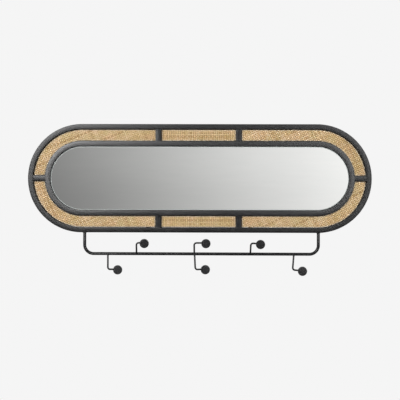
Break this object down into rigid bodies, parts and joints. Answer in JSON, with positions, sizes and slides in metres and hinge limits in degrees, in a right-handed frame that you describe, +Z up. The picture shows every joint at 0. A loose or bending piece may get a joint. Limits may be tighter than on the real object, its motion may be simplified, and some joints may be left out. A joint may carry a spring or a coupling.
{
  "type": "mirror with hooks",
  "caption": "Wide wall mirror with rounded ends, a woven border between two metal hoops, and a rod rail below it that carries short bent-wire hooks with round knobs.",
  "frame": {"origin": "on the wall plane, midway between the round mouths of the two keyholes that it hangs by", "axes": "+Y points into the wall, so the mirror faces -Y; +X is to the right seen from the front, along the mirror's length; +Z is up"},
  "size_m": [1, 0.0487, 0.4373],
  "materials": {
    "black_powder_coat": "satin black powder coat",
    "woven_cane": "bare split cane, close plain weave",
    "mirror": "silvered float glass with a ground edge",
    "foam": "white foam tape",
    "fibreboard": "bare smooth fibreboard",
    "zinc_plate": "bright zinc-plated steel",
    "rubber": "matt rubber"
  },
  "bodies": {
    "mirror": {"outer_hoop": "black_powder_coat", "inner_hoop": "black_powder_coat", "spreader_top_left": "black_powder_coat", "spreader_top_right": "black_powder_coat", "spreader_bottom_left": "black_powder_coat", "spreader_bottom_right": "black_powder_coat", "spreader_end_left": "black_powder_coat", "spreader_end_right": "black_powder_coat", "hook_rail": "black_powder_coat", "woven_top_middle": "woven_cane", "woven_bottom_middle": "woven_cane", "woven_top_left": "woven_cane", "woven_top_right": "woven_cane", "woven_bottom_left": "woven_cane", "woven_bottom_right": "woven_cane", "mirror_glass": "mirror", "foam_tape": "foam", "back_board": "fibreboard", "turn_button_screws": "zinc_plate", "hanger_left": "zinc_plate", "hanger_right": "zinc_plate", "hanger_screws": "zinc_plate", "wall_bumpers": "rubber", "hook_wire_upper_left": "black_powder_coat", "hook_wire_upper_middle": "black_powder_coat", "hook_wire_upper_right": "black_powder_coat", "hook_wire_lower_left": "black_powder_coat", "hook_wire_lower_middle": "black_powder_coat", "hook_wire_lower_right": "black_powder_coat", "hook_knob_upper_left": "black_powder_coat", "hook_knob_upper_middle": "black_powder_coat", "hook_knob_upper_right": "black_powder_coat", "hook_knob_lower_left": "black_powder_coat", "hook_knob_lower_middle": "black_powder_coat", "hook_knob_lower_right": "black_powder_coat"},
    "turn_button_top_left": {"turn_button_top_left": "zinc_plate"},
    "turn_button_top_right": {"turn_button_top_right": "zinc_plate"},
    "turn_button_bottom_left": {"turn_button_bottom_left": "zinc_plate"},
    "turn_button_bottom_right": {"turn_button_bottom_right": "zinc_plate"},
    "turn_button_end_left": {"turn_button_end_left": "zinc_plate"},
    "turn_button_end_right": {"turn_button_end_right": "zinc_plate"}
  },
  "joints": [
    {"name": "turn_top_left", "type": "hinge", "parent": "mirror", "child": "turn_button_top_left", "pos_m": [-0.15, -0.0051, 0.00775], "axis": [0, 1, 0], "range_deg": [-90, 90]},
    {"name": "turn_top_right", "type": "hinge", "parent": "mirror", "child": "turn_button_top_right", "pos_m": [0.15, -0.0051, 0.00775], "axis": [0, 1, 0], "range_deg": [-90, 90]},
    {"name": "turn_bottom_left", "type": "hinge", "parent": "mirror", "child": "turn_button_bottom_left", "pos_m": [-0.15, -0.0051, -0.29325], "axis": [0, 1, 0], "range_deg": [-90, 90]},
    {"name": "turn_bottom_right", "type": "hinge", "parent": "mirror", "child": "turn_button_bottom_right", "pos_m": [0.15, -0.0051, -0.29325], "axis": [0, 1, 0], "range_deg": [-90, 90]},
    {"name": "turn_end_left", "type": "hinge", "parent": "mirror", "child": "turn_button_end_left", "pos_m": [-0.4925, -0.0051, -0.14275], "axis": [0, 1, 0], "range_deg": [-90, 90]},
    {"name": "turn_end_right", "type": "hinge", "parent": "mirror", "child": "turn_button_end_right", "pos_m": [0.4925, -0.0051, -0.14275], "axis": [0, 1, 0], "range_deg": [-90, 90]}
  ]
}
